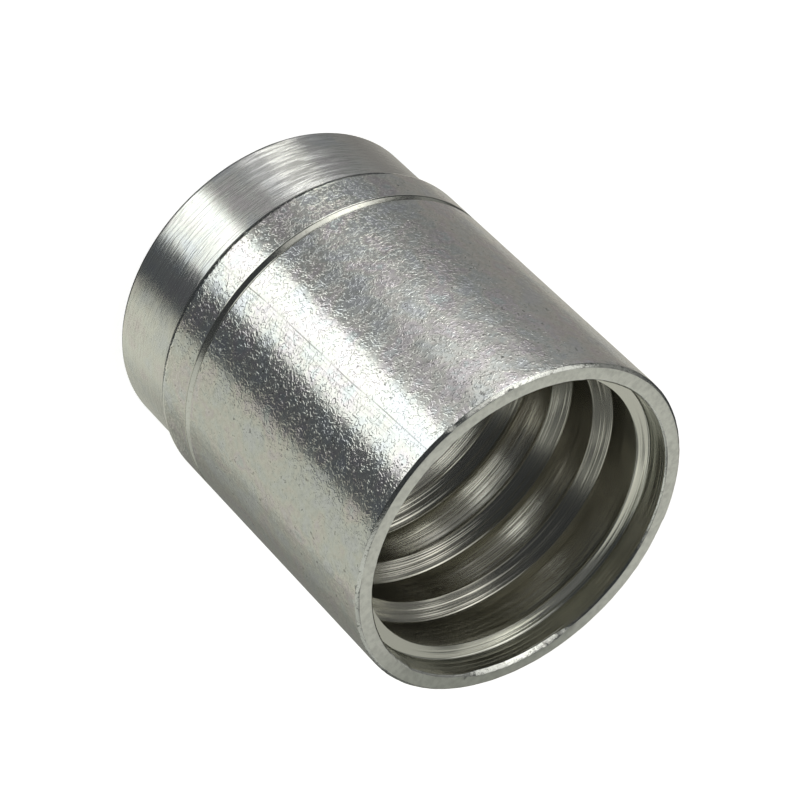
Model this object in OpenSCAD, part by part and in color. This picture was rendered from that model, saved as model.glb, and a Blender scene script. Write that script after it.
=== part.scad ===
// Crimp hose ferrule: a steel sleeve, turned from tube, that is squeezed onto a hose over a fitting's stem.
// It stands on its necked end with its axis on Z and its hose mouth up. Millimetres.

/* [Body] */
// Outside diameter of the body, which is the skin of the tube
body_d = 28; // [25:0.1:34]
// Length over both ends
length = 33.4; // [31:0.1:45]
// Wall of the body at the bottom of the grooves between the teeth
wall = 1.4; // [1.2:0.05:1.9]
// Chamfer on the outer edge of the mouth
mouth_chamfer = 0.25; // [0.1:0.05:0.5]
// Chamfer on the inner edge of the mouth
lip_chamfer = 0.15; // [0.05:0.05:0.4]

/* [Neck] */
// Depth that the neck is turned below the body's skin
neck_step = 0.55; // [0.3:0.05:0.9]
// Length of the neck, from its end to the foot of the shoulder
neck_l = 6.5; // [5:0.1:8]
// Radius of the shoulder, where the skin of the tube rolls over to the neck
shoulder_r = 1.1; // [0.9:0.1:2]
// Radius on the outer edge of the neck's end
neck_edge_r = 0.5; // [0.2:0.1:1]

/* [Ring groove] */
// Height of the fine groove that is scored round the body, from the neck's end to its middle
ring_z = 10.7; // [9.8:0.1:14]
// Depth of the groove below the skin
ring_depth = 0.28; // [0.16:0.02:0.4]
// Angle between the two sides of the groove
ring_angle = 90; // [70:10:110]
// Nose radius of the tool that scores it
ring_nose_r = 0.06; // [0.04:0.01:0.1]

/* [Teeth] */
// Number of teeth
tooth_count = 5; // [1:1:5]
// Distance from one tooth to the next
tooth_pitch = 5; // [4.2:0.1:5.4]
// Depth of the first tooth's crest below the mouth
first_depth = 2.4; // [2:0.1:3.4]
// Height of the first tooth above the groove beside it
first_tooth_h = 0.95; // [0.5:0.05:1.3]
// Slope of the first tooth's mouth side, measured from square to the axis
first_slope = 20; // [5:1:35]
// Height of the other teeth above their grooves
tooth_h = 1.3; // [0.6:0.05:1.6]
// Slope of every other tooth side, measured from square to the axis
tooth_slope = 33; // [20:1:38]
// Width of the narrow land on each crest
crest_land = 0.15; // [0.1:0.05:0.4]
// Radius in the corner at the foot of each tooth's mouth side
root_r = 0.2; // [0.1:0.05:0.3]
// Angle at which the groove behind each tooth still deepens
taper = 8; // [4:1:12]
// Distance from each crest to where that taper has reached the groove's full depth
taper_l = 3.1; // [2.5:0.1:3.6]
// Radius in the corner between each tooth's back and the taper
back_r = 1.1; // [0.2:0.1:1.3]

/* [Collar] */
// Diameter of the hole that locks on the fitting's stem
stem_d = 18.5; // [16:0.1:20]
// Length of that hole, from the neck's end to the collar's inner face
collar_l = 5; // [4:0.1:6]
// Chamfer on both ends of that hole
stem_chamfer = 0.5; // [0.2:0.1:0.8]

/* [Hidden] */

$fn = 180;
// Fineness of the small circles in the section
nose_fn = 72;
// How far a cut or a foot runs past the face that it opens or joins
lap = 0.4;

body_r = body_d / 2;
neck_r = body_r - neck_step;
groove_r = body_r - wall;
crest_r = groove_r - tooth_h;
first_crest_r = groove_r - first_tooth_h;
stem_r = stem_d / 2;

// The shoulder's arc is level with the body's skin at its centre, and meets the neck at the neck's length
shoulder_x = body_r - shoulder_r;
shoulder_z = neck_l + sqrt(pow(shoulder_r, 2) - pow(shoulder_r - neck_step, 2));

// Everything below is half of the section: x is the distance from the axis and y is the height

// The outside, as turned and as drawn
module outside() {
  difference() {
    union() {
      translate([0, neck_edge_r])
        square([neck_r, shoulder_z]);
      square([neck_r - neck_edge_r, neck_edge_r + lap]);
      translate([neck_r - neck_edge_r, neck_edge_r])
        circle(neck_edge_r, $fn = nose_fn);
      translate([shoulder_x, shoulder_z])
        circle(shoulder_r, $fn = nose_fn);
      translate([0, shoulder_z])
        square([body_r, length - shoulder_z]);
    }
    ring_groove();
    bevel(body_r, length, mouth_chamfer, 1);
  }
}

// The tool that scores the ring: a round nose with straight sides that open outwards
module ring_groove() {
  half = ring_angle / 2;
  nose_x = body_r - ring_depth + ring_nose_r;
  side_x = nose_x - ring_nose_r * sin(half);
  side_y = ring_nose_r * cos(half);
  open_x = body_r + lap;
  open_y = side_y + (open_x - side_x) * tan(half);
  translate([nose_x, ring_z])
    circle(ring_nose_r, $fn = nose_fn);
  translate([0, ring_z])
    polygon([[side_x, -side_y], [open_x, -open_y], [open_x, open_y], [side_x, side_y]]);
}

// A 45 degree cut across the edge at radius r of the top face at height z; outward is 1 on an outside edge and -1
// on the edge of a hole
module bevel(r, z, size, outward) {
  polygon([
    [r - outward * (size + lap), z + lap],
    [r + outward * lap, z - size - lap],
    [r + outward * lap, z + lap],
  ]);
}

// The mouth side of a tooth with its middle at y = 0: the half of the tooth above that, and the round foot where
// its side meets the groove
module tooth_mouth_side(crest, slope) {
  foot_y = crest_land / 2 + (groove_r - crest) * tan(slope);
  reach = root_r * tan(45 - slope / 2);
  polygon([
    [crest, 0],
    [crest, crest_land / 2],
    [groove_r, foot_y],
    [groove_r + lap, foot_y],
    [groove_r + lap, 0],
  ]);
  difference() {
    polygon([
      [groove_r, foot_y + reach],
      [groove_r - root_r, foot_y + reach],
      [groove_r - reach * cos(slope), foot_y - reach * sin(slope)],
      [groove_r, foot_y - reach],
    ]);
    translate([groove_r - root_r, foot_y + reach])
      circle(root_r, $fn = nose_fn);
  }
}

// The back of a tooth, below its middle: it falls to a round foot, and the taper runs out from there
module tooth_back(crest) {
  rise = (groove_r - crest - (taper_l - crest_land / 2) * tan(taper)) / (1 - tan(tooth_slope) * tan(taper));
  foot = [crest + rise, -crest_land / 2 - rise * tan(tooth_slope)];
  to_crest = [-cos(tooth_slope), sin(tooth_slope)];
  to_groove = [sin(taper), -cos(taper)];
  half = 45 + (tooth_slope + taper) / 2;
  reach = back_r / tan(half);
  middle = foot + (to_crest + to_groove) * back_r / sin(half) / (2 * cos(half));
  polygon([
    [crest, 0],
    [crest, -crest_land / 2],
    foot,
    [groove_r, -taper_l],
    [groove_r + lap, -taper_l],
    [groove_r + lap, 0],
  ]);
  difference() {
    polygon([foot + reach * to_crest, middle, foot + reach * to_groove, foot + [lap / 2, 0]]);
    translate(middle)
      circle(back_r, $fn = nose_fn);
  }
}

module tooth(crest, slope) {
  tooth_mouth_side(crest, slope);
  tooth_back(crest);
}

// The hollow: the toothed hose chamber and the stem hole below it
module hollow() {
  difference() {
    translate([0, collar_l])
      square([groove_r, length - collar_l + lap]);
    for (i = [0 : tooth_count - 1])
      translate([0, length - first_depth - i * tooth_pitch])
        if (i == 0)
          tooth(first_crest_r, first_slope);
        else
          tooth(crest_r, tooth_slope);
  }
  bevel(groove_r, length, lip_chamfer, -1);
  translate([0, -lap])
    square([stem_r, collar_l + 2 * lap]);
  bevel(stem_r, collar_l, stem_chamfer, -1);
  mirror([0, 1])
    bevel(stem_r, 0, stem_chamfer, -1);
}

// The whole sleeve, plated steel
module ferrule() {
  color("#b9bbb4")
    rotate_extrude()
      difference() {
        outside();
        hollow();
      }
}

ferrule();
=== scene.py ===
# Crimp hose ferrule: a sleeve turned from drawn steel tube and zinc plated, standing on its neck, mouth up.
# One piece is turned here from the same section as the solid, with its edges broken and its rim knocked.
# It takes six finishes: the tube's drawn skin, the turned neck, the bored teeth, the faced mouth, the
# rubbed edges and the scored ring.
import math

import bpy
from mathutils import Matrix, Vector


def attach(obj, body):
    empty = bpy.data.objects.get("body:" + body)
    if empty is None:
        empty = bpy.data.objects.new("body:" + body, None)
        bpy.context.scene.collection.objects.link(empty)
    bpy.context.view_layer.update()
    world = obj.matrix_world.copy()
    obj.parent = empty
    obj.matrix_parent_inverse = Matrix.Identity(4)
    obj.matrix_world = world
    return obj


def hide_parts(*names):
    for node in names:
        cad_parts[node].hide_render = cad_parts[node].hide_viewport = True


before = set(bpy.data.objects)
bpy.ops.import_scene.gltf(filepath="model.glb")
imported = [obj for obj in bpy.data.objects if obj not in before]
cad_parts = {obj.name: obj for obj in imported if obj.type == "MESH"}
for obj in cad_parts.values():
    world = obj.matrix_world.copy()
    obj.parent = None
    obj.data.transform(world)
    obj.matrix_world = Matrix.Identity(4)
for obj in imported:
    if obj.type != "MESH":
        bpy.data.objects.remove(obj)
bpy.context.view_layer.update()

MM = 0.001

# Sizes of the sleeve in millimetres, as in the part's source
# The body is a hair under the solid's 14, so that rounding in the spin stays inside the solid's box
BODY_R = 13.9995
LENGTH = 33.4
GROOVE_R = 12.6
MOUTH_CHAMFER = 0.25
LIP_CHAMFER = 0.15
NECK_R = 13.45
NECK_L = 6.5
NECK_EDGE_R = 0.5
SHOULDER_R = 1.1
RING_Z = 10.7
RING_DEPTH = 0.28
RING_NOSE_R = 0.06
# The edges of the ring are rolled over a little, as plating and handling leave them
RING_EDGE_R = 0.2
TOOTH_COUNT = 5
TOOTH_PITCH = 5.0
FIRST_DEPTH = 2.4
FIRST_CREST_R = 11.65
FIRST_SLOPE = 20.0
CREST_R = 11.3
TOOTH_SLOPE = 33.0
CREST_LAND = 0.15
ROOT_R = 0.2
TAPER = 8.0
TAPER_L = 3.1
BACK_R = 1.1
STEM_R = 9.25
COLLAR_L = 5.0
STEM_CHAMFER = 0.5

# What a deburring tool leaves on every other edge, and the steps of its rounding
BROKEN_EDGE = 0.035
BROKEN_EDGE_STEPS = 3
# A corner of the section that turns further than this, in degrees, is an edge, and not part of an arc
EDGE_TURN = 20
# How far the knocks on the mouth's edges reach from each edge
KNOCK_REACH = 0.35
# Steps of one full turn of the section, and how close its first and last points have to be to become one
TURN_STEPS = 360
WELD = 0.002
# The middle of the wall at the mouth: what lies further out belongs to its outer edge, the rest to its lip
MID_WALL_R = (BODY_R + GROOVE_R) / 2
# What rounding in the mesh may add to a length
SLACK = 0.01


# The section of the sleeve

def arc(centre_r, centre_z, radius, start, end, steps):
    """Points of an arc in the section, in millimetres; angles are in degrees from straight outwards."""
    turn = [math.radians(start + (end - start) * i / steps) for i in range(steps + 1)]
    return [(centre_r + radius * math.cos(t), centre_z + radius * math.sin(t)) for t in turn]


def tooth_points(crest_r, crest_z, slope):
    """One tooth from the mouth inwards: round foot, mouth side, crest, back, its round foot and the taper."""
    land = CREST_LAND / 2
    lean, taper = math.tan(math.radians(TOOTH_SLOPE)), math.tan(math.radians(TAPER))
    foot_z = crest_z + land + (GROOVE_R - crest_r) * math.tan(math.radians(slope))
    reach = ROOT_R * math.tan(math.radians(45 - slope / 2))
    points = arc(GROOVE_R - ROOT_R, foot_z + reach, ROOT_R, 0, slope - 90, 6)
    points += [(crest_r, crest_z + land), (crest_r, crest_z - land)]
    rise = (GROOVE_R - crest_r - (TAPER_L - land) * taper) / (1 - lean * taper)
    back_r, back_z = crest_r + rise, crest_z - land - rise * lean
    out = BACK_R / math.sin(math.radians(45 + (TOOTH_SLOPE + TAPER) / 2))
    way = math.radians(225 - (TOOTH_SLOPE - TAPER) / 2)
    centre_r, centre_z = back_r + out * math.cos(way), back_z + out * math.sin(way)
    points += arc(centre_r, centre_z, BACK_R, 90 - TOOTH_SLOPE, TAPER, 8)
    points += [(GROOVE_R, crest_z - TAPER_L)]
    return points


def outside_points():
    """The outside, from the neck's end up to the mouth."""
    shoulder_z = NECK_L + math.sqrt(SHOULDER_R ** 2 - (SHOULDER_R - BODY_R + NECK_R) ** 2)
    foot = -math.degrees(math.asin((shoulder_z - NECK_L) / SHOULDER_R))
    nose = BODY_R - RING_DEPTH + RING_NOSE_R
    open_z = RING_DEPTH + (math.sqrt(2) - 1) * RING_NOSE_R
    points = arc(NECK_R - NECK_EDGE_R, NECK_EDGE_R, NECK_EDGE_R, -90, 0, 8)
    points += arc(BODY_R - SHOULDER_R, shoulder_z, SHOULDER_R, foot, 0, 12)
    edge_z = open_z + RING_EDGE_R * math.tan(math.radians(22.5))
    points += arc(BODY_R - RING_EDGE_R, RING_Z - edge_z, RING_EDGE_R, 0, 45, 5)
    points += arc(nose, RING_Z, RING_NOSE_R, 225, 135, 6)
    points += arc(BODY_R - RING_EDGE_R, RING_Z + edge_z, RING_EDGE_R, -45, 0, 5)
    points += [(BODY_R, LENGTH - MOUTH_CHAMFER - KNOCK_REACH), (BODY_R, LENGTH - MOUTH_CHAMFER)]
    points += [(BODY_R - MOUTH_CHAMFER, LENGTH), (BODY_R - MOUTH_CHAMFER - KNOCK_REACH, LENGTH)]
    return points


def bore_points():
    """The hollow, from the mouth down to the neck's end."""
    points = [(GROOVE_R + LIP_CHAMFER + KNOCK_REACH, LENGTH), (GROOVE_R + LIP_CHAMFER, LENGTH)]
    points += [(GROOVE_R, LENGTH - LIP_CHAMFER), (GROOVE_R, LENGTH - LIP_CHAMFER - KNOCK_REACH)]
    for i in range(TOOTH_COUNT):
        crest_z = LENGTH - FIRST_DEPTH - i * TOOTH_PITCH
        crest_r = CREST_R if i else FIRST_CREST_R
        points += tooth_points(crest_r, crest_z, TOOTH_SLOPE if i else FIRST_SLOPE)
    points += [(GROOVE_R, COLLAR_L), (STEM_R + STEM_CHAMFER, COLLAR_L), (STEM_R, COLLAR_L - STEM_CHAMFER)]
    points += [(STEM_R, STEM_CHAMFER), (STEM_R + STEM_CHAMFER, 0)]
    return points


def sharp(before, corner, after):
    """True where the section turns too far at this corner to be part of an arc."""
    a = Vector(corner) - Vector(before)
    b = Vector(after) - Vector(corner)
    return math.degrees(a.angle(b)) > EDGE_TURN


# The sleeve, turned

def select_places(mesh, wanted):
    """In object mode, selects just the vertices at these places in the section."""
    places = {(round(r, 4), round(z, 4)) for r, z in wanted}
    for v in mesh.vertices:
        v.select = (round(v.co.x / MM, 4), round(v.co.z / MM, 4)) in places


def turn_sleeve():
    """Draws the section by extruding one point along it, breaks its edges and spins it round the axis."""
    section = outside_points() + bore_points()
    first_r, first_z = section[0]
    bpy.ops.object.select_all(action="DESELECT")
    # a plane that is merged at its middle gives the first point
    bpy.ops.mesh.primitive_plane_add(size=MM, location=(0, 0, 0))
    sleeve = bpy.context.active_object
    sleeve.name = "plated_ferrule"
    bpy.ops.object.mode_set(mode="EDIT")
    bpy.ops.mesh.select_all(action="SELECT")
    bpy.ops.mesh.merge(type="CENTER")
    bpy.ops.transform.translate(value=(first_r * MM, 0, first_z * MM))
    for (r0, z0), (r1, z1) in zip(section, section[1:]):
        bpy.ops.mesh.extrude_vertices_move(
            TRANSFORM_OT_translate={"value": ((r1 - r0) * MM, 0, (z1 - z0) * MM)})
    bpy.ops.object.mode_set(mode="OBJECT")

    # the last point is joined to the first across the neck's end
    select_places(sleeve.data, [section[0], section[-1]])
    bpy.ops.object.mode_set(mode="EDIT")
    bpy.ops.mesh.edge_face_add()
    bpy.ops.object.mode_set(mode="OBJECT")

    around = zip(section[-1:] + section[:-1], section, section[1:] + section[:1])
    select_places(sleeve.data, [corner for before, corner, after in around if sharp(before, corner, after)])
    bpy.ops.object.mode_set(mode="EDIT")
    bpy.ops.mesh.bevel(affect="VERTICES", offset=BROKEN_EDGE * MM, segments=BROKEN_EDGE_STEPS)

    bpy.ops.mesh.select_all(action="SELECT")
    bpy.ops.mesh.spin(steps=TURN_STEPS, angle=2 * math.pi, center=(0, 0, 0), axis=(0, 0, 1))
    bpy.ops.mesh.select_all(action="SELECT")
    bpy.ops.mesh.remove_doubles(threshold=WELD * MM)
    bpy.ops.mesh.normals_make_consistent(inside=False)
    bpy.ops.object.mode_set(mode="OBJECT")
    return sleeve


def azimuth(place):
    """Degrees round the axis from the camera's side, growing to the left when the mouth is up."""
    return math.degrees(math.atan2(-place.x, -place.y))


def degrees_past(place, middle):
    """How far round the axis this place lies from an azimuth, between -180 and 180."""
    return (azimuth(place) - middle + 180) % 360 - 180


# The lip was deburred by hand on one side: the middle of that stretch and half its width in degrees, how
# much wider its chamfer gets there, and the strokes that it took
DEBURR_AZIMUTH = -147
DEBURR_HALF = 21
DEBURR_WIDTH = 0.18
DEBURR_STROKES = 6
# How much the strokes shorten from the first to the last
DEBURR_SHORTENING = 0.25
# The tool leans over, so the chamfer grows this many times as fast on the face as down the bore
DEBURR_LEAN = 1.5
# The chamfer's edges lie within the first of these from the face or the bore's wall, and between the
# other two along it
LIP_EDGE_OFF = 0.04
LIP_EDGE_NEAR = 0.08
LIP_EDGE_FAR = LIP_CHAMFER + 0.3


def deburr_lip(sleeve):
    """Widens the lip's chamfer in ever shorter strokes; on the face the tool chatters and skips places."""
    lip = [v.index for v in sleeve.data.vertices
           if v.co.xy.length / MM - GROOVE_R < LIP_EDGE_FAR and LENGTH - v.co.z / MM < LIP_EDGE_FAR]
    for stroke in range(DEBURR_STROKES):
        reach = DEBURR_HALF * (1 - DEBURR_SHORTENING * stroke / DEBURR_STROKES)
        for edge in ("foot", "outer"):
            bpy.ops.object.mode_set(mode="EDIT")
            bpy.ops.mesh.select_all(action="DESELECT")
            bpy.ops.object.mode_set(mode="OBJECT")
            for v in [sleeve.data.vertices[i] for i in lip]:
                off = degrees_past(v.co, DEBURR_AZIMUTH)
                out, depth = v.co.xy.length / MM - GROOVE_R, LENGTH - v.co.z / MM
                if edge == "foot":
                    cut = out < LIP_EDGE_OFF and LIP_EDGE_NEAR < depth < LIP_EDGE_FAR
                else:
                    # three places in five are cut, and each stroke skips other ones
                    hit = (round(off) * 3 + stroke * 7) % 5 > 1
                    cut = depth < LIP_EDGE_OFF and LIP_EDGE_NEAR < out < LIP_EDGE_FAR and hit
                v.select = cut and abs(off) < reach
            bpy.ops.object.mode_set(mode="EDIT")
            if edge == "foot":
                bpy.ops.transform.translate(value=(0, 0, -DEBURR_WIDTH / DEBURR_STROKES * MM))
            else:
                wider = 1 + DEBURR_LEAN * DEBURR_WIDTH / DEBURR_STROKES / GROOVE_R
                bpy.ops.transform.resize(value=(wider, wider, 1), center_override=(0, 0, 0))
            bpy.ops.object.mode_set(mode="OBJECT")


# Where the mouth's edges were knocked hardest: edge, azimuth and half width in degrees
KNOCKS = [("outer", 8, 3), ("outer", 29, 2), ("outer", 64, 4), ("outer", -48, 3), ("outer", 150, 5),
          ("lip", -100, 4), ("lip", 60, 5), ("lip", -169, 6)]
# How hard the rest of those edges was knocked, and the ends of each of these places, against 1 at its middle
KNOCK_ELSEWHERE = 0.25
KNOCK_ENDS = 0.5
# Depth and width of the dents
DENT_DEPTH = 0.14
DENT_WIDTH = 0.6


def knock_rim(sleeve):
    """Presses small dents into the mouth's edges, as parts get that tumble together in the plating barrel."""
    rim = sleeve.vertex_groups.new(name="rim")
    for v in sleeve.data.vertices:
        radius, height = v.co.xy.length / MM, v.co.z / MM
        edge = "outer" if radius > MID_WALL_R else "lip"
        reach = KNOCK_REACH + (MOUTH_CHAMFER if edge == "outer" else LIP_CHAMFER)
        corner = Vector((BODY_R if edge == "outer" else GROOVE_R, LENGTH))
        if (Vector((radius, height)) - corner).length > reach - SLACK:
            continue
        weight = KNOCK_ELSEWHERE
        for where, middle, half_width in KNOCKS:
            off = abs(degrees_past(v.co, middle))
            if where == edge and off < half_width:
                weight = max(weight, 1 - (1 - KNOCK_ENDS) * off / half_width)
        rim.add([v.index], weight, "REPLACE")
    dents = bpy.data.textures.new("barrel_dents", "CLOUDS")
    dents.noise_scale = DENT_WIDTH * MM
    dents.noise_depth = 2
    press = sleeve.modifiers.new("knocks", "DISPLACE")
    press.texture = dents
    press.texture_coords = "LOCAL"
    press.vertex_group = "rim"
    press.mid_level = 1.0
    press.strength = DENT_DEPTH * MM
    bpy.ops.object.modifier_apply(modifier=press.name)


# The finishes

def linear(hex_colour):
    """An sRGB hex colour as linear red, green, blue and alpha."""
    parts = [int(hex_colour[i:i + 2], 16) / 255 for i in (1, 3, 5)]
    return [c / 12.92 if c <= 0.04045 else ((c + 0.055) / 1.055) ** 2.4 for c in parts] + [1.0]


def add(tree, kind, inputs, **settings):
    """Adds one node with its settings; inputs gives each socket a value or the socket that feeds it."""
    made = tree.nodes.new("ShaderNode" + kind)
    for name, value in settings.items():
        setattr(made, name, value)
    for socket, value in inputs.items():
        if isinstance(value, bpy.types.NodeSocket):
            tree.links.new(value, made.inputs[socket])
        else:
            made.inputs[socket].default_value = value
    return made


def add_ramp(tree, factor, stops):
    """Adds a colour ramp with these (position, hex colour) stops and gives its colour output."""
    made = add(tree, "ValToRGB", {"Fac": factor})
    elements = made.color_ramp.elements
    while len(elements) < len(stops):
        elements.new(1.0)
    for element, (position, colour) in zip(elements, stops):
        element.position, element.color = position, linear(colour)
    return made.outputs["Color"]


def per_metre(size_mm):
    """The scale of a pattern whose features are this wide."""
    return 1 / (size_mm * MM)


def new_finish(name):
    """A material with an empty tree: the tree, its output and the Object coordinates."""
    finish = bpy.data.materials.new(name)
    finish.use_nodes = True
    finish.node_tree.nodes.clear()
    output = add(finish.node_tree, "OutputMaterial", {})
    place = add(finish.node_tree, "TexCoord", {}).outputs["Object"]
    return finish, finish.node_tree, output, place


# Lines that the drawing die left along the tube: azimuth at the neck's end in degrees and how strong each is
DRAW_LINES = [(-131, 0.35), (-62, 0.12), (-13, 0.12), (-11.6, 0.22), (-9.7, 0.15), (-8.6, 0.55), (37, 0.1),
              (96, 0.35), (158, 0.35)]
# Half of a line's width, in degrees: a line is 0.08 mm wide, where a real one is finer
DRAW_LINE_HALF = 0.17
# How far the lines turn over the whole length, in degrees, from the rolls that straightened the tube
DRAW_LINE_TWIST = 5.0


def draw_lines(tree, place):
    """A mask of the draw lines, which wander a little, turn slowly and fade in and out along the tube."""
    wander = add(tree, "TexNoise", {"Vector": place, "Scale": per_metre(9.0), "Detail": 1.0})
    moved = add(tree, "VectorMath", {0: wander.outputs["Color"], 1: (0.5 * MM, 0.5 * MM, 0.0), 2: place},
                operation="MULTIPLY_ADD")
    turn = add(tree, "TexGradient", {"Vector": moved.outputs["Vector"]}, gradient_type="RADIAL")
    height = add(tree, "SeparateXYZ", {"Vector": place}).outputs["Z"]
    twist = add(tree, "Math", {0: height, 1: DRAW_LINE_TWIST / 360 / (LENGTH * MM), 2: turn.outputs["Fac"]},
                operation="MULTIPLY_ADD")
    lines = 0.0
    for middle, strength in DRAW_LINES:
        # the radial gradient is a quarter at the camera's side and falls with azimuth
        line = add(tree, "Math", {0: twist.outputs["Value"], 1: (0.25 - middle / 360) % 1.0,
                                  2: DRAW_LINE_HALF / 360}, operation="COMPARE")
        drawn = add(tree, "Math", {0: line.outputs["Value"], 1: strength}, operation="MULTIPLY")
        lines = add(tree, "Math", {0: lines, 1: drawn.outputs["Value"]}, operation="MAXIMUM").outputs["Value"]
    fade = add(tree, "TexNoise", {"Vector": place, "Scale": per_metre(3.5), "Detail": 1.0})
    shown = add(tree, "MapRange", {"Value": fade.outputs["Fac"], "From Min": 0.3, "From Max": 0.55})
    return add(tree, "Math", {0: lines, 1: shown.outputs["Result"]}, operation="MULTIPLY").outputs["Value"]


def drawn_zinc_skin():
    """Zinc over the tube's drawn skin: curly flecks that glitter, cloudy tints, draw lines and pits."""
    finish, tree, output, place = new_finish("drawn_zinc_skin")
    # the flecks follow the level lines of one pattern, and another one breaks those into short pieces
    curls = add(tree, "TexNoise", {"Vector": place, "Scale": per_metre(0.3), "Detail": 0.0,
                                   "Distortion": 0.6})
    off_level = add(tree, "Math", {0: curls.outputs["Fac"], 1: 0.5}, operation="SUBTRACT")
    off_level = add(tree, "Math", {0: off_level.outputs["Value"]}, operation="ABSOLUTE")
    level = add(tree, "MapRange", {"Value": off_level.outputs["Value"], "From Min": 0.15, "From Max": 0.0},
                interpolation_type="SMOOTHSTEP")
    breaks = add(tree, "TexNoise", {"Vector": place, "Scale": per_metre(0.36), "Detail": 1.0})
    broken = add(tree, "MapRange", {"Value": breaks.outputs["Fac"], "From Min": 0.42, "From Max": 0.52})
    flecks = add(tree, "Math", {0: level.outputs["Result"], 1: broken.outputs["Result"]},
                 operation="MULTIPLY")
    swell = add(tree, "TexNoise", {"Vector": place, "Scale": per_metre(2.4), "Detail": 2.0, "Roughness": 0.5})
    clouds = add(tree, "TexNoise", {"Vector": place, "Scale": per_metre(2.6), "Detail": 3.0,
                                    "Roughness": 0.6})
    tint = add_ramp(tree, clouds.outputs["Fac"], [(0.34, "#d7dadb"), (0.44, "#d8dbd6"), (0.52, "#dddcd5"),
                                                  (0.6, "#dcd7d7"), (0.68, "#d6dbd9")])
    # pits with a dark middle of up to 0.14 mm, one for each small cell whose middle lies in the skin
    cells = add(tree, "TexVoronoi", {"Vector": place, "Scale": per_metre(2.3)})
    pits = add(tree, "MapRange", {"Value": cells.outputs["Distance"], "From Min": 0.06, "From Max": 0.03,
                                  "To Max": 0.6})
    # specks of dirt, gathered in places
    dirt = add(tree, "TexNoise", {"Vector": place, "Scale": per_metre(0.45), "Detail": 2.0, "Roughness": 0.7})
    specks = add(tree, "MapRange", {"Value": dirt.outputs["Fac"], "From Min": 0.63, "From Max": 0.72,
                                    "To Max": 0.5})
    lines = draw_lines(tree, place)
    marks = add(tree, "Math", {0: pits.outputs["Result"], 1: specks.outputs["Result"]}, operation="MAXIMUM")
    marked = add(tree, "Math", {0: marks.outputs["Value"], 1: lines}, operation="MAXIMUM").outputs["Value"]
    rubbed = add_ramp(tree, dirt.outputs["Fac"], [(0.36, "#f3f3f3"), (0.6, "#ffffff")])
    tint = add(tree, "Mix", {"Factor": 1.0, 6: tint, 7: rubbed}, data_type="RGBA",
               blend_type="MULTIPLY").outputs[2]
    colour = add(tree, "Mix", {"Factor": marked, 6: tint, 7: linear("#55554f")}, data_type="RGBA")
    waves = add(tree, "Bump", {"Height": swell.outputs["Fac"], "Strength": 1.0, "Distance": 0.03 * MM})
    cuts = add(tree, "Bump", {"Height": marked, "Strength": 1.0, "Distance": 0.012 * MM,
                              "Normal": waves.outputs["Normal"]}, invert=True)
    grain = add(tree, "Bump", {"Height": flecks.outputs["Value"], "Strength": 1.0, "Distance": 0.008 * MM,
                               "Normal": cuts.outputs["Normal"]})
    shader = add(tree, "BsdfPrincipled", {"Base Color": colour.outputs[2], "Metallic": 1.0, "Roughness": 0.17,
                                          "Normal": grain.outputs["Normal"]})
    tree.links.new(shader.outputs["BSDF"], output.inputs["Surface"])
    return finish


def tool_rings(tree, place, width_mm, length_mm, depth_mm):
    """The normal of a turned surface: fine rings of this width, broken into pieces of this length."""
    around = width_mm / length_mm
    along = add(tree, "Mapping", {"Vector": place, "Scale": (around, around, 1.0)})
    rings = add(tree, "TexNoise", {"Vector": along.outputs["Vector"], "Scale": per_metre(width_mm),
                                   "Detail": 2.0, "Roughness": 0.6})
    cut = add(tree, "MapRange", {"Value": rings.outputs["Fac"], "From Min": 0.38, "From Max": 0.62},
              interpolation_type="SMOOTHSTEP")
    return add(tree, "Bump", {"Height": cut.outputs["Result"], "Strength": 1.0,
                              "Distance": depth_mm * MM}).outputs["Normal"]


def turned_zinc_neck():
    """Zinc over a turned neck: smoother than the skin, with rings that streak the light along the axis."""
    finish, tree, output, place = new_finish("turned_zinc_neck")
    clouds = add(tree, "TexNoise", {"Vector": place, "Scale": per_metre(3.0), "Detail": 3.0,
                                    "Roughness": 0.6})
    tint = add_ramp(tree, clouds.outputs["Fac"], [(0.35, "#d8dbdb"), (0.5, "#dedfd9"), (0.65, "#ddd9d7")])
    # on one side bright streaks are painted on a darker ground: painted glints where the turning marks catch
    # the light, with painted shade between them
    stretched = add(tree, "Mapping", {"Vector": place, "Scale": (0.1, 0.1, 1.0)})
    painted_glint_streaks = add(tree, "TexNoise", {"Vector": stretched.outputs["Vector"], "Scale": per_metre(0.28),
                                     "Detail": 2.0})
    painted_glint_ground = add_ramp(tree, painted_glint_streaks.outputs["Fac"], [(0.44, "#b6b6b4"), (0.58, "#ececea")])
    side = add(tree, "SeparateXYZ", {"Vector": place}).outputs["X"]
    begins = add(tree, "MapRange", {"Value": side, "From Min": -3.5 * MM, "From Max": -6.0 * MM})
    ends = add(tree, "MapRange", {"Value": side, "From Min": -10.5 * MM, "From Max": -8.5 * MM})
    painted_glint_side = add(tree, "Math", {0: begins.outputs["Result"], 1: ends.outputs["Result"]},
                  operation="MULTIPLY")
    # the painted glints and painted shade go into the neck's colour on that side only
    tint = add(tree, "Mix", {"Factor": painted_glint_side.outputs["Value"], 6: tint, 7: painted_glint_ground},
               data_type="RGBA").outputs[2]
    # past those the neck is painted a little darker: painted shade on that side of it, where it gets less
    # light
    painted_shade_far_side = add(tree, "MapRange", {"Value": side, "From Min": -10.8 * MM, "From Max": -12.0 * MM})
    tint = add(tree, "Mix", {"Factor": painted_shade_far_side.outputs["Result"], 6: tint, 7: linear("#cfcfcb")},
               data_type="RGBA").outputs[2]
    tangent = add(tree, "Tangent", {}, direction_type="RADIAL", axis="Z")
    shader = add(tree, "BsdfPrincipled", {"Base Color": tint, "Metallic": 1.0, "Roughness": 0.24,
                                          "Anisotropic": 0.75, "Anisotropic Rotation": 0.25,
                                          "Tangent": tangent.outputs["Tangent"],
                                          "Normal": tool_rings(tree, place, 0.2, 3.0, 0.009)})
    tree.links.new(shader.outputs["BSDF"], output.inputs["Surface"])
    return finish


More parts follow.
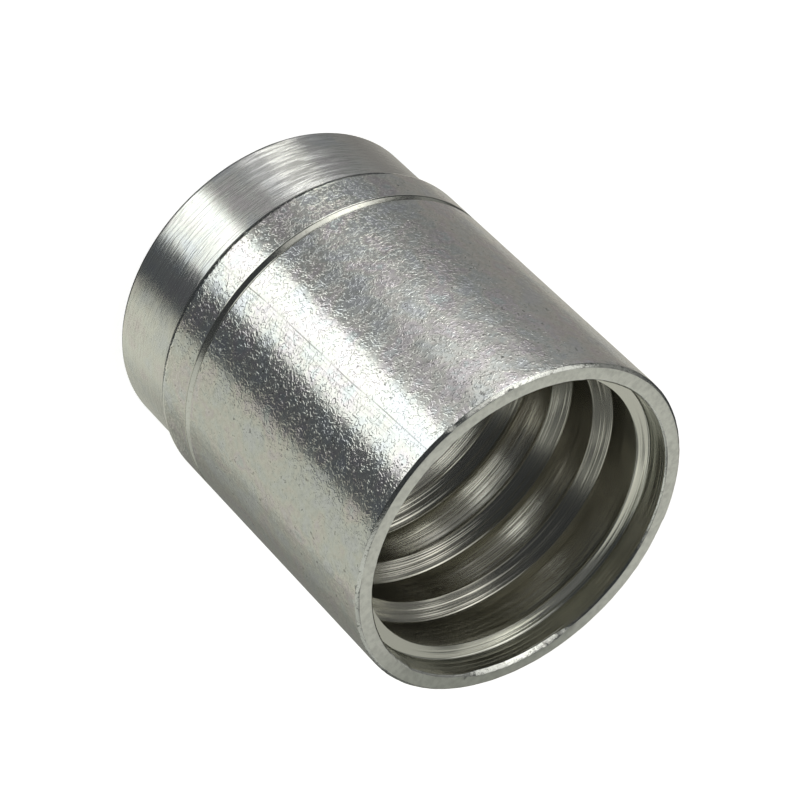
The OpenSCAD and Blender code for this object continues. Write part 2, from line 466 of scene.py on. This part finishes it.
def bored_zinc_teeth():
    """Zinc over the bored teeth: pale at the mouth, darker and browner deeper in, which is painted shade of
    the bore.
    """
    finish, tree, output, place = new_finish("bored_zinc_teeth")
    height = add(tree, "SeparateXYZ", {"Vector": place}).outputs["Z"]
    painted_shade_depth = add(tree, "MapRange", {"Value": height, "From Min": (LENGTH - 5.0) * MM,
                                     "From Max": (LENGTH - 2.2) * MM})
    # painted shade: the colour darkens from 2.2 mm to 5 mm below the mouth
    tint = add_ramp(tree, painted_shade_depth.outputs["Result"], [(0.0, "#c4c2b8"), (1.0, "#d0d0c6")])
    shader = add(tree, "BsdfPrincipled", {"Base Color": tint, "Metallic": 1.0, "Roughness": 0.2,
                                          "Normal": tool_rings(tree, place, 0.22, 40.0, 0.02)})
    tree.links.new(shader.outputs["BSDF"], output.inputs["Surface"])
    return finish


def faced_zinc_mouth():
    """Zinc over the faced end: matte and pale, a little green, with a patchy tone."""
    finish, tree, output, place = new_finish("faced_zinc_mouth")
    # the face grows darker across the mouth from one side to the other, darkest at azimuth -130
    across = add(tree, "Mapping", {"Vector": place, "Location": (0.5, 0.0, 0.0),
                                   "Rotation": (0, 0, math.radians(-40)),
                                   "Scale": (0.5 / (BODY_R * MM),) * 3})
    darker_across = add(tree, "TexGradient", {"Vector": across.outputs["Vector"]}, gradient_type="LINEAR")
    tint = add_ramp(tree, darker_across.outputs["Fac"], [(0.0, "#e4e5de"), (0.66, "#e1e2db"), (0.8, "#d3d4ce"),
                                                (0.91, "#b3b5af"), (1.0, "#a6a8a1")])
    peel = add(tree, "TexNoise", {"Vector": place, "Scale": per_metre(0.5), "Detail": 3.0, "Roughness": 0.6})
    mottle = add_ramp(tree, peel.outputs["Fac"], [(0.3, "#e8e8e8"), (0.6, "#ffffff")])
    colour = add(tree, "Mix", {"Factor": 1.0, 6: tint, 7: mottle}, data_type="RGBA", blend_type="MULTIPLY")
    bump = add(tree, "Bump", {"Height": peel.outputs["Fac"], "Strength": 1.0, "Distance": 0.018 * MM})
    shader = add(tree, "BsdfPrincipled", {"Base Color": colour.outputs[2], "Metallic": 1.0, "Roughness": 0.42,
                                          "Normal": bump.outputs["Normal"]})
    tree.links.new(shader.outputs["BSDF"], output.inputs["Surface"])
    return finish


def bright_zinc_cut(name, scratch_mm, scratch_colour, colour):
    """Bright zinc on a narrow cut, with scratches that break up the line of light along it."""
    finish, tree, output, place = new_finish(name)
    scratches = add(tree, "TexNoise", {"Vector": place, "Scale": per_metre(0.3), "Detail": 3.0,
                                       "Roughness": 0.7})
    bump = add(tree, "Bump", {"Height": scratches.outputs["Fac"], "Strength": 1.0,
                              "Distance": scratch_mm * MM})
    tint = add_ramp(tree, scratches.outputs["Fac"], [(0.34, scratch_colour), (0.46, colour)])
    shader = add(tree, "BsdfPrincipled", {"Base Color": tint, "Metallic": 1.0, "Roughness": 0.19,
                                          "Normal": bump.outputs["Normal"]})
    tree.links.new(shader.outputs["BSDF"], output.inputs["Surface"])
    return finish


# How far below the mouth a face still counts as faced, and how far the rubbed edges and the other cuts run
# past their ends
FACED_DEPTH = 0.02
RUBBED_PAST = 0.03
CUT_PAST = 0.1


def give_finishes(sleeve):
    """Puts each finish on the faces that were drawn, turned, bored, faced, rubbed or scored."""
    for finish in (drawn_zinc_skin(), turned_zinc_neck(), bored_zinc_teeth(), faced_zinc_mouth(),
                   bright_zinc_cut("rubbed_zinc_edge", 0.016, "#a5a5a0", "#dcddd8"),
                   bright_zinc_cut("scored_zinc_ring", 0.005, "#cccbc2", "#dbdbd3")):
        sleeve.data.materials.append(finish)
    skin, neck, bore, mouth, edge, ring = range(6)
    for face in sleeve.data.polygons:
        radius, height = face.center.xy.length / MM, face.center.z / MM
        chamfer = MOUTH_CHAMFER if radius > MID_WALL_R else LIP_CHAMFER
        if height > LENGTH - FACED_DEPTH and GROOVE_R + LIP_CHAMFER < radius < BODY_R - MOUTH_CHAMFER:
            face.material_index = mouth
        elif height > LENGTH - chamfer - RUBBED_PAST:
            face.material_index = edge
        elif radius < GROOVE_R + SLACK and height > NECK_EDGE_R:
            face.material_index = bore
        elif abs(height - RING_Z) < RING_DEPTH + CUT_PAST:
            face.material_index = ring
        elif height < NECK_L + CUT_PAST:
            face.material_index = neck
        else:
            face.material_index = skin


sleeve = turn_sleeve()
give_finishes(sleeve)
deburr_lip(sleeve)
knock_rim(sleeve)
bpy.ops.object.shade_smooth()
bpy.ops.object.modifier_add(type="WEIGHTED_NORMAL")
bpy.ops.object.modifier_apply(modifier=sleeve.modifiers[0].name)

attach(sleeve, "root")
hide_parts("ferrule")

# The camera where the photo was taken from: its place and its lens in millimetres and its turn in degrees
CAMERA_PLACE = (0, -215.838, 193.147)
CAMERA_TURN = (-40.714, -33.471, 147.484)
CAMERA_LENS = 170.641
CAMERA_SENSOR = 36
CAMERA_CLIP = 10

bpy.ops.object.select_all(action="DESELECT")
bpy.ops.object.camera_add(location=[c * MM for c in CAMERA_PLACE])
camera = bpy.context.active_object
camera.rotation_euler = [math.radians(a) for a in CAMERA_TURN]
camera.data.sensor_width = CAMERA_SENSOR
camera.data.lens = CAMERA_LENS
camera.data.clip_start = CAMERA_CLIP * MM
bpy.context.scene.camera = camera


# The studio: a light table with upright soft boxes round it, in the dark. Azimuths are as on the sleeve.
# What stands below the table's level shines up through it. Distances and sizes are in metres.
SOFT_BOX_DISTANCE = 0.4
# White cards stand closer, where only the neck mirrors them
CARD_DISTANCE = 0.045
OVERHEAD_SIZE = 0.13
OVERHEAD_BRIGHTNESS = 0.12
TABLE_SIZE = 2.0


def soft_box(name, azimuths, elevations, brightness, tint="#ffffff", distance=SOFT_BOX_DISTANCE):
    """An upright light that fills these azimuths and elevations, in degrees from the sleeve's middle."""
    turn = math.radians(sum(azimuths) / 2)
    low, high = [distance * math.tan(math.radians(e)) for e in elevations]
    way = Vector((-math.sin(turn), -math.cos(turn), 0))
    middle = distance * way + Vector((0, 0, LENGTH / 2 * MM + (low + high) / 2))
    bpy.ops.object.light_add(type="AREA", location=middle)
    box = bpy.context.active_object
    box.name = name
    box.rotation_euler = (-way).to_track_quat("-Z", "Y").to_euler()
    box.data.shape = "RECTANGLE"
    box.data.size = 2 * distance * math.tan(math.radians((azimuths[1] - azimuths[0]) / 2))
    box.data.size_y = high - low
    box.data.color = linear(tint)[:3]
    box.data.energy = math.pi * brightness * box.data.size * box.data.size_y
    box.visible_camera = False


# the bright strip along the skin, with the dark gap beside it
soft_box("front_strip", (-6, 10), (-54, -5), 1.75, "#fcfffe")
soft_box("front_strip_wing", (-26, -6), (-50, -5), 1.5, "#fcfffd")
soft_box("gap_left", (-60, -26), (-50, -8), 0.055, "#ecf2ff")
# the sides of the skin and of the neck
soft_box("far_low_right", (110, 145), (-48, -22), 0.25, "#fff9f2")
soft_box("rim_right", (145, 175), (-50, -20), 0.48, "#fffbee")
soft_box("low_left", (-112, -60), (-54, -8), 0.55, "#fffff0")
soft_box("mid_low_left", (-132, -112), (-57, -8), 0.31, "#fffff0")
soft_box("far_low_left", (-175, -132), (-57, -8), 0.19, "#fffff0")
# the right of the chamfer and of the ring, and the teeth and the lip across from it
soft_box("key_edge", (20, 36), (24, 54), 0.5, "#fffffa")
soft_box("key_side", (36, 52), (24, 54), 0.93, "#fffffa")
soft_box("key_high", (52, 74), (24, 54), 1.7, "#fffffa")
soft_box("key_high_far", (74, 102), (24, 48), 0.95, "#fffffa")
soft_box("key_spill", (62, 112), (54, 68), 0.18, "#fffff8")
soft_box("right_high", (102, 130), (28, 54), 0.12, "#fffff8")
soft_box("right_high_low", (102, 130), (6, 28), 0.2, "#fffff8")
# the same on the left
soft_box("high_left_near", (-78, -62), (2, 54), 0.55, "#fdfff6")
soft_box("high_left", (-102, -78), (2, 46), 0.62, "#fdfff6")
soft_box("high_left_far", (-140, -102), (2, 26), 0.45, "#fdfff6")
soft_box("high_left_dim", (-140, -102), (26, 52), 0.11, "#fdfff6")
soft_box("left_spill", (-112, -72), (52, 68), 0.18, "#fdfff6")
# the mouth's face, and then the first tooth
soft_box("backdrop_right", (136, 168), (6, 55), 0.45, "#fffff6")
soft_box("backdrop", (168, 222), (6, 57), 0.56, "#fffff6")
soft_box("high_back_left", (-168, -116), (52, 75), 0.7, "#fffff6")
soft_box("high_back_right", (120, 166), (54, 63), 0.6, "#fffff6")
soft_box("high_back_top", (122, 150), (63, 73), 1.9, "#fffff6")
# on the right bright boxes end just below the height that the skin mirrors, so every fleck there turns
# bright or dark, and boxes lower still light the shoulder
for azimuths, bright, dim, low in (((10, 36), 0.64, 0.12, 0.23), ((36, 44), 1.04, 0.16, 0.2),
                                   ((44, 64), 1.04, 0.16, 0.64), ((64, 82), 0.6, 0.17, 0.35),
                                   ((82, 110), 0.3, 0.17, 0.27)):
    soft_box("right_bright", azimuths, (-38.3, -20), bright)
    soft_box("right_dim", azimuths, (-44, -38.3), dim)
    soft_box("right_low", azimuths, (-60, -44), low)
soft_box("right_sparkle", (40, 72), (-20, -9), 4.0)
for azimuths, brightness in (((-165, -132), 0.34), ((-132, -99), 0.32), ((-99, -66), 0.27), ((-14, 14), 0.6),
                             ((49, 72), 1.15)):
    soft_box("neck_card", azimuths, (-54, -45.2), brightness, "#fffff0", CARD_DISTANCE)

# a small box overhead picks out the knocked edges
bpy.ops.object.light_add(type="AREA", location=(0, 0, SOFT_BOX_DISTANCE))
overhead = bpy.context.active_object
overhead.name = "overhead"
overhead.data.size = OVERHEAD_SIZE
overhead.data.energy = math.pi * OVERHEAD_BRIGHTNESS * OVERHEAD_SIZE ** 2
overhead.visible_camera = False

world = bpy.data.worlds.new("studio")
bpy.context.scene.world = world
world.use_nodes = True
world.node_tree.nodes["Background"].inputs["Color"].default_value = linear("#3c3e40")

bpy.ops.object.select_all(action="DESELECT")
bpy.ops.mesh.primitive_plane_add(size=TABLE_SIZE, location=(0, 0, 0))
floor = bpy.context.active_object
floor.name = "light_table"
floor.visible_glossy = False
floor.visible_diffuse = False
floor.visible_shadow = False
table_top = bpy.data.materials.new("white_acrylic")
table_top.use_nodes = True
acrylic = table_top.node_tree.nodes["Principled BSDF"]
acrylic.inputs["Base Color"].default_value = linear("#f2f2f0")
acrylic.inputs["Roughness"].default_value = 0.9
acrylic.inputs["Emission Color"].default_value = linear("#ffffff")
acrylic.inputs["Emission Strength"].default_value = 0.8
floor.data.materials.append(table_top)

bpy.context.scene.view_settings.view_transform = "Standard"
